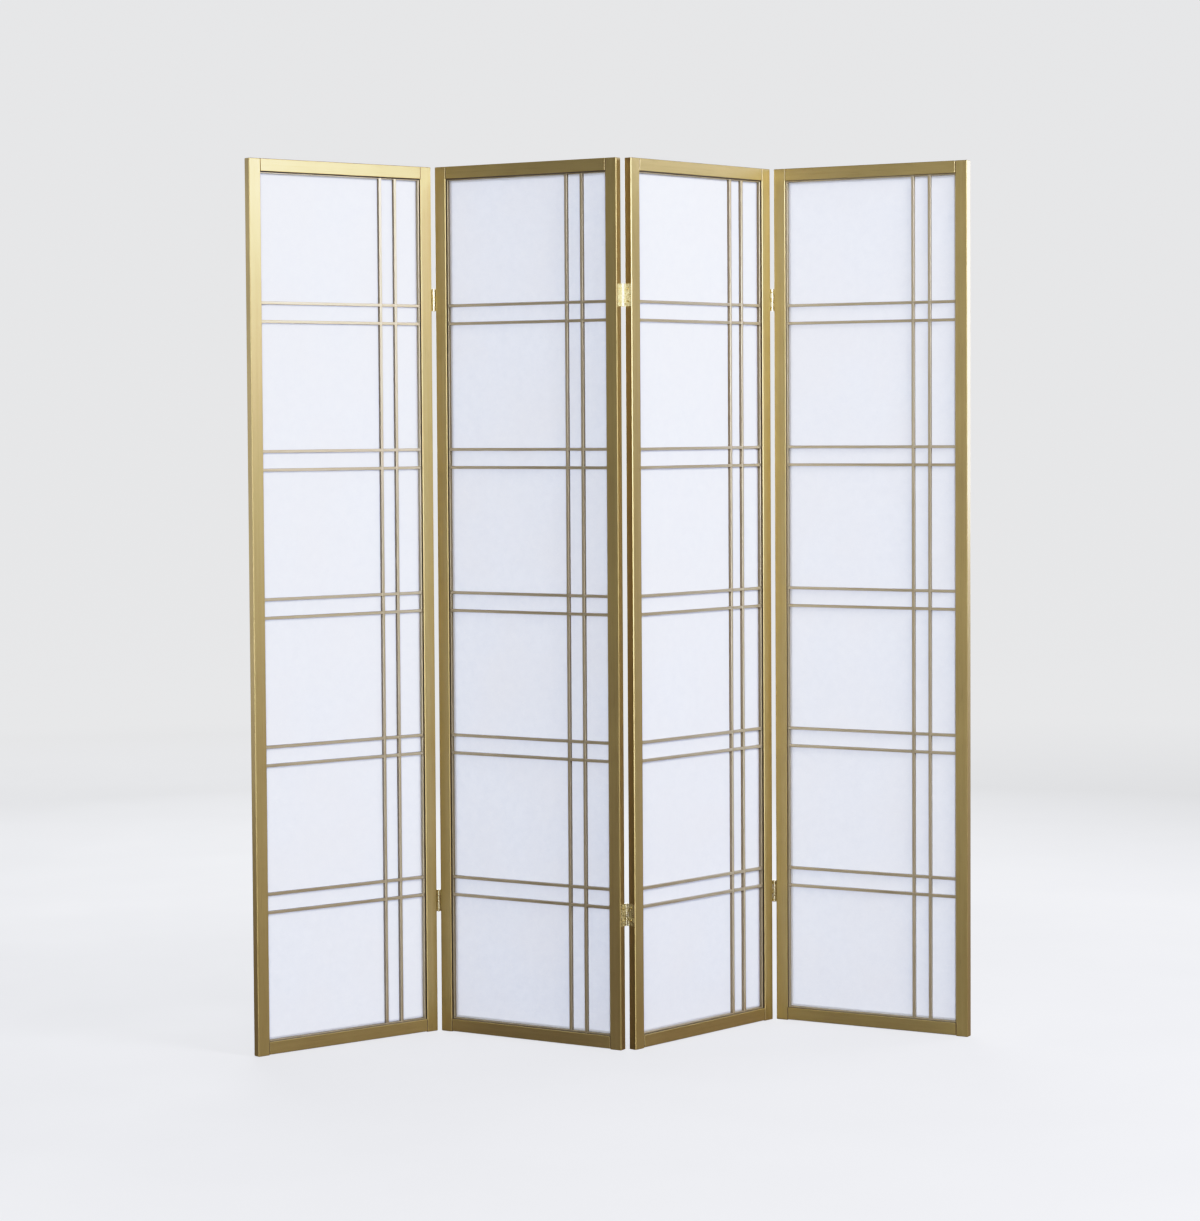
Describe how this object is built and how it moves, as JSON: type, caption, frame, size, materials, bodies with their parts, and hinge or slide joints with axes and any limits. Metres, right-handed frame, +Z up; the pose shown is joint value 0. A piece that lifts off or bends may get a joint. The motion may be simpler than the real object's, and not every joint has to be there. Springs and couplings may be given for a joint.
{
  "type": "folding room divider",
  "caption": "Folding room divider: hinged upright frames with a fine halved strip lattice over white paper, standing in a zigzag on their frame feet.",
  "frame": {"origin": "middle of the outline on the floor, at the frame feet", "axes": "+X along the row from the left panel to the right one as seen from the front, +Y from the front to the back, +Z up"},
  "size_m": [1.4578, 0.2985, 1.784],
  "materials": {
    "gold_lacquered_wood": "satin metallic gold lacquer over fine-grained wood",
    "bare_wood": "unfinished",
    "paper": "matt fibrous, lets light through",
    "polished_brass": "polished",
    "brass_screw": "polished plating"
  },
  "bodies": {
    "panel_1": {"panel_1_left_stile": "gold_lacquered_wood", "panel_1_right_stile": "gold_lacquered_wood", "panel_1_top_rail": "gold_lacquered_wood", "panel_1_bottom_rail": "gold_lacquered_wood", "panel_1_lattice_uprights": "gold_lacquered_wood", "panel_1_lattice_crossbars": "gold_lacquered_wood", "panel_1_paper": "paper", "panel_1_back_beads": "gold_lacquered_wood", "panel_1_corner_dowels": "bare_wood", "panel_1_hinge_screws": "brass_screw", "lower_hinge_1_2_left_leaf": "polished_brass", "lower_hinge_1_2_pin": "polished_brass", "upper_hinge_1_2_left_leaf": "polished_brass", "upper_hinge_1_2_pin": "polished_brass"},
    "panel_2": {"panel_2_left_stile": "gold_lacquered_wood", "panel_2_right_stile": "gold_lacquered_wood", "panel_2_top_rail": "gold_lacquered_wood", "panel_2_bottom_rail": "gold_lacquered_wood", "panel_2_lattice_uprights": "gold_lacquered_wood", "panel_2_lattice_crossbars": "gold_lacquered_wood", "panel_2_paper": "paper", "panel_2_back_beads": "gold_lacquered_wood", "panel_2_corner_dowels": "bare_wood", "panel_2_hinge_screws": "brass_screw", "lower_hinge_1_2_right_leaf": "polished_brass", "upper_hinge_1_2_right_leaf": "polished_brass", "lower_hinge_2_3_left_leaf": "polished_brass", "lower_hinge_2_3_pin": "polished_brass", "upper_hinge_2_3_left_leaf": "polished_brass", "upper_hinge_2_3_pin": "polished_brass"},
    "panel_3": {"panel_3_left_stile": "gold_lacquered_wood", "panel_3_right_stile": "gold_lacquered_wood", "panel_3_top_rail": "gold_lacquered_wood", "panel_3_bottom_rail": "gold_lacquered_wood", "panel_3_lattice_uprights": "gold_lacquered_wood", "panel_3_lattice_crossbars": "gold_lacquered_wood", "panel_3_paper": "paper", "panel_3_back_beads": "gold_lacquered_wood", "panel_3_corner_dowels": "bare_wood", "panel_3_hinge_screws": "brass_screw", "lower_hinge_2_3_right_leaf": "polished_brass", "upper_hinge_2_3_right_leaf": "polished_brass", "lower_hinge_3_4_left_leaf": "polished_brass", "lower_hinge_3_4_pin": "polished_brass", "upper_hinge_3_4_left_leaf": "polished_brass", "upper_hinge_3_4_pin": "polished_brass"},
    "panel_4": {"panel_4_left_stile": "gold_lacquered_wood", "panel_4_right_stile": "gold_lacquered_wood", "panel_4_top_rail": "gold_lacquered_wood", "panel_4_bottom_rail": "gold_lacquered_wood", "panel_4_lattice_uprights": "gold_lacquered_wood", "panel_4_lattice_crossbars": "gold_lacquered_wood", "panel_4_paper": "paper", "panel_4_back_beads": "gold_lacquered_wood", "panel_4_corner_dowels": "bare_wood", "panel_4_hinge_screws": "brass_screw", "lower_hinge_3_4_right_leaf": "polished_brass", "upper_hinge_3_4_right_leaf": "polished_brass"}
  },
  "joints": [
    {"name": "fold_1_2", "type": "hinge", "parent": "panel_2", "child": "panel_1", "pos_m": [-0.34644, 0.10913, 0], "axis": [0, 0, 1], "range_deg": [-68, 112]},
    {"name": "fold_2_3", "type": "hinge", "parent": "panel_2", "child": "panel_3", "pos_m": [0.01661, -0.13439, 0], "axis": [0, 0, 1], "range_deg": [-78, 102]},
    {"name": "fold_3_4", "type": "hinge", "parent": "panel_3", "child": "panel_4", "pos_m": [0.36179, 0.13386, 0], "axis": [0, 0, 1], "range_deg": [-104, 76]}
  ]
}
